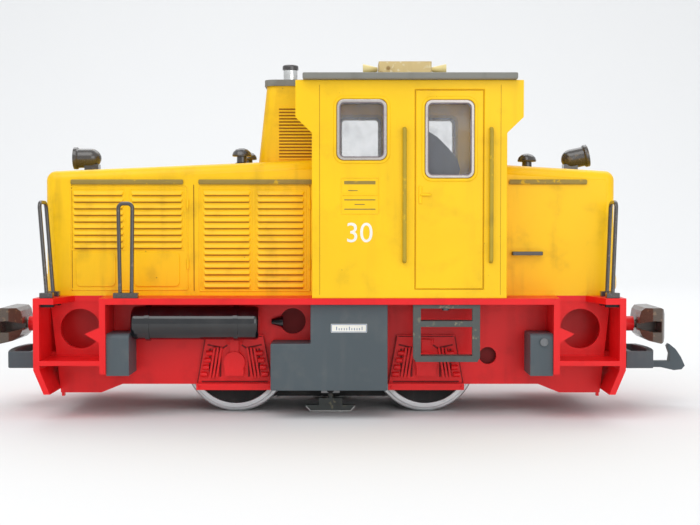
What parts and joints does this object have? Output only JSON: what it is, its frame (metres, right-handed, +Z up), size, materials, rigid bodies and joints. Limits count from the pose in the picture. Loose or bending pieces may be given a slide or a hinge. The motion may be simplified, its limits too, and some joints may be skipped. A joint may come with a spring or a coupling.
{
  "type": "model diesel locomotive",
  "caption": "Two-axle model diesel shunting locomotive for 45 mm track: long louvred hood, tall cab, short hood, central buffers and loop couplers",
  "frame": {"origin": "on the track plane (lowest point of the wheel flanges), midway between the axles and on the centre line", "axes": "+X towards the short hood and the hooked coupler, +Y to the right-hand side when facing the long hood, +Z up"},
  "size_m": [0.3336, 0.1112, 0.1658],
  "materials": {
    "red_plastic": "satin moulded red plastic",
    "yellow_plastic": "satin moulded yellow plastic, grimy in the grooves",
    "dark_grey_plastic": "matt dark grey plastic",
    "black_gloss": "glossy blue-black plastic",
    "roof_grey": "matt grey plastic, dusty",
    "brown_grey": "worn brown-grey plastic",
    "rail_yellow": "worn yellow over grey plastic",
    "tyre_steel": "turned plated steel tyre on a dark centre",
    "bright_steel": "plated steel",
    "brass": "turned brass",
    "window_silver": "silver foil on plastic",
    "clear_glass": "clear plastic glazing",
    "amber_lens": "cream translucent plastic",
    "black_plastic": "matt black plastic",
    "interior_brown": "matt brown plastic",
    "desk_grey": "matt grey plastic",
    "board_green": "printed circuit board",
    "tan_unit": "cream over tan plastic, speckled",
    "horn_yellow": "pale yellow plastic"
  },
  "bodies": {
    "chassis": {"air_tank_left": "black_gloss", "air_tank_right": "black_gloss", "air_tank_straps": "black_gloss", "axle_bushes": "brass", "axlebox_covers": "red_plastic", "ballast_weight": "bright_steel", "battery_boxes": "dark_grey_plastic", "brake_lever": "desk_grey", "cab_floor": "interior_brown", "cab_grab_rails": "rail_yellow", "cab_roof": "roof_grey", "cab_shell": "yellow_plastic", "circuit_board": "board_green", "control_desk": "desk_grey", "corner_handrails": "brown_grey", "coupler_pivot_screws": "bright_steel", "exhaust_stack": "bright_steel", "exhaust_tower": "yellow_plastic", "frame": "red_plastic", "front_buffer": "brown_grey", "fuel_tank_left": "dark_grey_plastic", "fuel_tank_right": "dark_grey_plastic", "hairpin_handrails": "brown_grey", "headlight_front": "brown_grey", "headlight_lenses": "clear_glass", "headlight_rear": "brown_grey", "hood_bar_handles": "brown_grey", "hood_drip_strips": "brown_grey", "long_hood": "yellow_plastic", "marker_lamps": "amber_lens", "motor_block": "black_plastic", "motor_block_plate": "black_plastic", "motor_can": "bright_steel", "plate_screws": "bright_steel", "rain_cap": "brown_grey", "rear_buffer": "brown_grey", "roof_horns": "horn_yellow", "roof_unit": "tan_unit", "roof_vents": "brown_grey", "screw_heads": "bright_steel", "short_hood": "yellow_plastic", "side_ladders": "dark_grey_plastic", "tower_cap": "roof_grey", "window_frames": "window_silver", "window_panes": "clear_glass"},
    "front_wheelset": {"front_wheel_left": "tyre_steel", "front_wheel_right": "tyre_steel", "front_axle": "bright_steel", "front_worm_wheel": "black_plastic"},
    "rear_wheelset": {"rear_wheel_left": "tyre_steel", "rear_wheel_right": "tyre_steel", "rear_axle": "bright_steel", "rear_worm_wheel": "black_plastic"},
    "motor_rotor": {"motor_shaft": "bright_steel", "worms": "brass"},
    "front_drawbar": {"front_coupler": "dark_grey_plastic"},
    "rear_drawbar": {"rear_coupler": "dark_grey_plastic"},
    "hook": {"coupler_hook": "dark_grey_plastic"},
    "left_shoe": {"pickup_shoe_left": "bright_steel"},
    "right_shoe": {"pickup_shoe_right": "bright_steel"}
  },
  "joints": [
    {"name": "front_axle_spin", "type": "hinge", "parent": "chassis", "child": "front_wheelset", "pos_m": [-0.0445, 0, 0.0245], "axis": [0, 1, 0], "continuous": true},
    {"name": "rear_axle_spin", "type": "hinge", "parent": "chassis", "child": "rear_wheelset", "pos_m": [0.0445, 0, 0.0245], "axis": [0, 1, 0], "continuous": true},
    {"name": "motor_spin", "type": "hinge", "parent": "chassis", "child": "motor_rotor", "pos_m": [0, 0, 0.0362], "axis": [1, 0, 0], "continuous": true},
    {"name": "front_coupler_swing", "type": "hinge", "parent": "chassis", "child": "front_drawbar", "pos_m": [-0.121, 0, 0.0234], "axis": [0, 0, 1], "range_deg": [-14, 14]},
    {"name": "rear_coupler_swing", "type": "hinge", "parent": "chassis", "child": "rear_drawbar", "pos_m": [0.121, 0, 0.0234], "axis": [0, 0, 1], "range_deg": [-14, 14]},
    {"name": "hook_tilt", "type": "hinge", "parent": "rear_drawbar", "child": "hook", "pos_m": [0.1462, 0, 0.021], "axis": [0, 1, 0], "range_deg": [0, 12]},
    {"name": "left_shoe_lift", "type": "slide", "parent": "chassis", "child": "left_shoe", "axis": [0, 0, 1], "range_m": [0, 0.002]},
    {"name": "right_shoe_lift", "type": "slide", "parent": "chassis", "child": "right_shoe", "axis": [0, 0, 1], "range_m": [0, 0.002]}
  ],
  "couplings": [
    {"joint": "rear_axle_spin", "follows": "front_axle_spin", "ratio": 1},
    {"joint": "motor_spin", "follows": "front_axle_spin", "ratio": 16}
  ]
}
